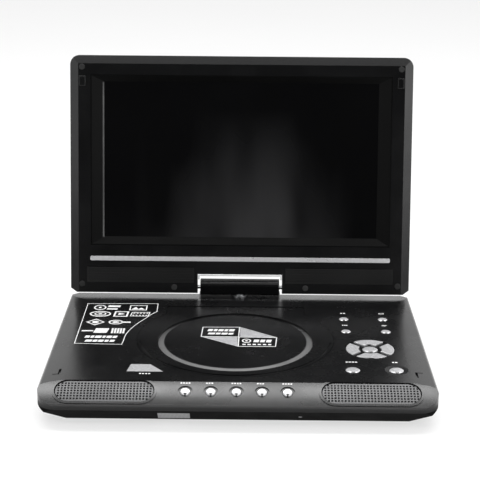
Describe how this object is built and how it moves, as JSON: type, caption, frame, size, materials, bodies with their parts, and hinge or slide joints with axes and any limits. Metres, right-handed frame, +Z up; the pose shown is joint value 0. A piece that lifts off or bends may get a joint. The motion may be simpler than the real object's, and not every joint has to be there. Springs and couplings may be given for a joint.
{
  "type": "portable dvd player",
  "caption": "Portable disc player: flat base with a lift-up disc door, speakers and keys, and a wide screen on a swivel-and-tilt hinge.",
  "frame": {"origin": "middle of the bounding box in X and Y, on the plane of the rubber feet", "axes": "+X to the user's right along the longest side, +Y to the rear, +Z up, with the screen open at rest"},
  "size_m": [0.2686, 0.237, 0.2106],
  "materials": {
    "shell_plastic": "gloss",
    "case_plastic": "satin",
    "window_plastic": "satin",
    "rubber": "matte",
    "screw_steel": "satin",
    "inner_plastic": "matte",
    "sheet_steel": "satin",
    "bright_steel": "polished",
    "motor_steel": "satin",
    "circuit_board": "satin",
    "battery_wrap": "satin",
    "speaker_black": "matte",
    "grille_plastic": "satin",
    "jack_plastic": "satin",
    "port_metal": "satin",
    "bearing_plastic": "satin",
    "hub_plastic": "matte",
    "lens_glass": "polished",
    "door_plastic": "gloss",
    "silver_key": "satin",
    "hinge_plastic": "gloss",
    "bezel_plastic": "gloss",
    "cover_plastic": "gloss",
    "surround_plastic": "gloss",
    "screen_glass": "gloss",
    "chrome_trim": "polished",
    "silver_strip": "satin"
  },
  "bodies": {
    "base": {"base_top_shell": "shell_plastic", "base_bottom_case": "case_plastic", "ir_window": "window_plastic", "rubber_feet": "rubber", "case_screws": "screw_steel", "disc_deck": "inner_plastic", "traverse_chassis": "sheet_steel", "guide_rods": "bright_steel", "spindle_motor": "motor_steel", "sled_motor": "motor_steel", "key_boards": "circuit_board", "main_board": "circuit_board", "battery_pack": "battery_wrap", "speaker_drivers": "speaker_black", "left_speaker_grille": "grille_plastic", "right_speaker_grille": "grille_plastic", "dc_jack": "jack_plastic", "signal_jacks": "jack_plastic", "usb_port": "port_metal", "card_slot": "port_metal", "swivel_bush": "bearing_plastic"},
    "turntable": {"turntable_hub": "hub_plastic"},
    "sled": {"laser_sled": "inner_plastic", "laser_lens": "lens_glass"},
    "lead_screw": {"lead_screw": "bright_steel"},
    "door": {"disc_door": "door_plastic", "disc_clamp_pad": "hub_plastic"},
    "open_button": {"open_button": "silver_key"},
    "latch": {"latch_hook": "bearing_plastic"},
    "power_switch": {"power_switch": "case_plastic"},
    "hinge_block": {"hinge_block": "hinge_plastic", "swivel_shaft": "sheet_steel", "tilt_axles": "bright_steel"},
    "display": {"display_bezel": "bezel_plastic", "display_back_cover": "cover_plastic", "screen_surround": "surround_plastic", "lcd_panel": "screen_glass", "display_board": "circuit_board", "hinge_arms": "sheet_steel", "hinge_trim": "chrome_trim", "silver_strip": "silver_strip", "lid_bumpers": "rubber"},
    "upper_left_key": {"upper_left_key": "silver_key"},
    "upper_right_key": {"upper_right_key": "silver_key"},
    "middle_left_key": {"middle_left_key": "silver_key"},
    "middle_right_key": {"middle_right_key": "silver_key"},
    "lower_left_key": {"lower_left_key": "silver_key"},
    "lower_right_key": {"lower_right_key": "silver_key"},
    "ok_key": {"ok_key": "silver_key"},
    "nav_up_key": {"nav_up_key": "silver_key"},
    "nav_down_key": {"nav_down_key": "silver_key"},
    "nav_left_key": {"nav_left_key": "silver_key"},
    "nav_right_key": {"nav_right_key": "silver_key"},
    "power_button": {"power_button": "silver_key"},
    "mode_button": {"mode_button": "silver_key"},
    "menu_button": {"menu_button": "silver_key"},
    "volume_down_button": {"volume_down_button": "silver_key"},
    "volume_up_button": {"volume_up_button": "silver_key"}
  },
  "joints": [
    {"name": "screen_swivel", "type": "hinge", "parent": "base", "child": "hinge_block", "pos_m": [0, 0.0752, 0.032], "axis": [0, 0, 1], "range_deg": [0, 180]},
    {"name": "screen_tilt", "type": "hinge", "parent": "hinge_block", "child": "display", "pos_m": [0, 0.0752, 0.032], "axis": [1, 0, 0], "range_deg": [-78.4, 101.6]},
    {"name": "door_hinge", "type": "hinge", "parent": "base", "child": "door", "pos_m": [-0.0025, 0.0452, 0.0237], "axis": [1, 0, 0], "range_deg": [-60, 0]},
    {"name": "turntable_spin", "type": "hinge", "parent": "base", "child": "turntable", "pos_m": [-0.0025, -0.0186, 0.018], "axis": [0, 0, 1], "continuous": true},
    {"name": "sled_travel", "type": "slide", "parent": "base", "child": "sled", "axis": [0, -1, 0], "range_m": [0, 0.032]},
    {"name": "lead_screw_spin", "type": "hinge", "parent": "base", "child": "lead_screw", "pos_m": [0.0265, -0.0586, 0.013], "axis": [0, 1, 0], "range_deg": [-0.1, 3000]},
    {"name": "open_press", "type": "slide", "parent": "base", "child": "open_button", "axis": [0, 0, 1], "range_m": [-0.0008, 0], "stiffness_N_per_m": 600},
    {"name": "latch_slide", "type": "slide", "parent": "base", "child": "latch", "axis": [-0.7254, -0.6884, 0], "range_m": [0, 0.0012]},
    {"name": "power_switch_slide", "type": "slide", "parent": "base", "child": "power_switch", "axis": [0, 1, 0], "range_m": [0, 0.003]},
    {"name": "upper_left_key_press", "type": "slide", "parent": "base", "child": "upper_left_key", "axis": [0, 0, 1], "range_m": [-0.0007, 0], "stiffness_N_per_m": 500},
    {"name": "upper_right_key_press", "type": "slide", "parent": "base", "child": "upper_right_key", "axis": [0, 0, 1], "range_m": [-0.0007, 0], "stiffness_N_per_m": 500},
    {"name": "middle_left_key_press", "type": "slide", "parent": "base", "child": "middle_left_key", "axis": [0, 0, 1], "range_m": [-0.0007, 0], "stiffness_N_per_m": 500},
    {"name": "middle_right_key_press", "type": "slide", "parent": "base", "child": "middle_right_key", "axis": [0, 0, 1], "range_m": [-0.0007, 0], "stiffness_N_per_m": 500},
    {"name": "lower_left_key_press", "type": "slide", "parent": "base", "child": "lower_left_key", "axis": [0, 0, 1], "range_m": [-0.0007, 0], "stiffness_N_per_m": 500},
    {"name": "lower_right_key_press", "type": "slide", "parent": "base", "child": "lower_right_key", "axis": [0, 0, 1], "range_m": [-0.0007, 0], "stiffness_N_per_m": 500},
    {"name": "ok_key_press", "type": "slide", "parent": "base", "child": "ok_key", "axis": [0, 0, 1], "range_m": [-0.0007, 0], "stiffness_N_per_m": 500},
    {"name": "nav_up_key_press", "type": "slide", "parent": "base", "child": "nav_up_key", "axis": [0, 0, 1], "range_m": [-0.0007, 0], "stiffness_N_per_m": 500},
    {"name": "nav_down_key_press", "type": "slide", "parent": "base", "child": "nav_down_key", "axis": [0, 0, 1], "range_m": [-0.0007, 0], "stiffness_N_per_m": 500},
    {"name": "nav_left_key_press", "type": "slide", "parent": "base", "child": "nav_left_key", "axis": [0, 0, 1], "range_m": [-0.0007, 0], "stiffness_N_per_m": 500},
    {"name": "nav_right_key_press", "type": "slide", "parent": "base", "child": "nav_right_key", "axis": [0, 0, 1], "range_m": [-0.0007, 0], "stiffness_N_per_m": 500},
    {"name": "power_button_press", "type": "slide", "parent": "base", "child": "power_button", "axis": [0, -0.4258, 0.9048], "range_m": [-0.0007, 0], "stiffness_N_per_m": 500},
    {"name": "mode_button_press", "type": "slide", "parent": "base", "child": "mode_button", "axis": [0, -0.4258, 0.9048], "range_m": [-0.0007, 0], "stiffness_N_per_m": 500},
    {"name": "menu_button_press", "type": "slide", "parent": "base", "child": "menu_button", "axis": [0, -0.4258, 0.9048], "range_m": [-0.0007, 0], "stiffness_N_per_m": 500},
    {"name": "volume_down_button_press", "type": "slide", "parent": "base", "child": "volume_down_button", "axis": [0, -0.4258, 0.9048], "range_m": [-0.0007, 0], "stiffness_N_per_m": 500},
    {"name": "volume_up_button_press", "type": "slide", "parent": "base", "child": "volume_up_button", "axis": [0, -0.4258, 0.9048], "range_m": [-0.0007, 0], "stiffness_N_per_m": 500}
  ],
  "couplings": [
    {"joint": "lead_screw_spin", "follows": "sled_travel", "rad_per_m": 1570.8},
    {"joint": "latch_slide", "follows": "open_press", "ratio": -1.5}
  ]
}
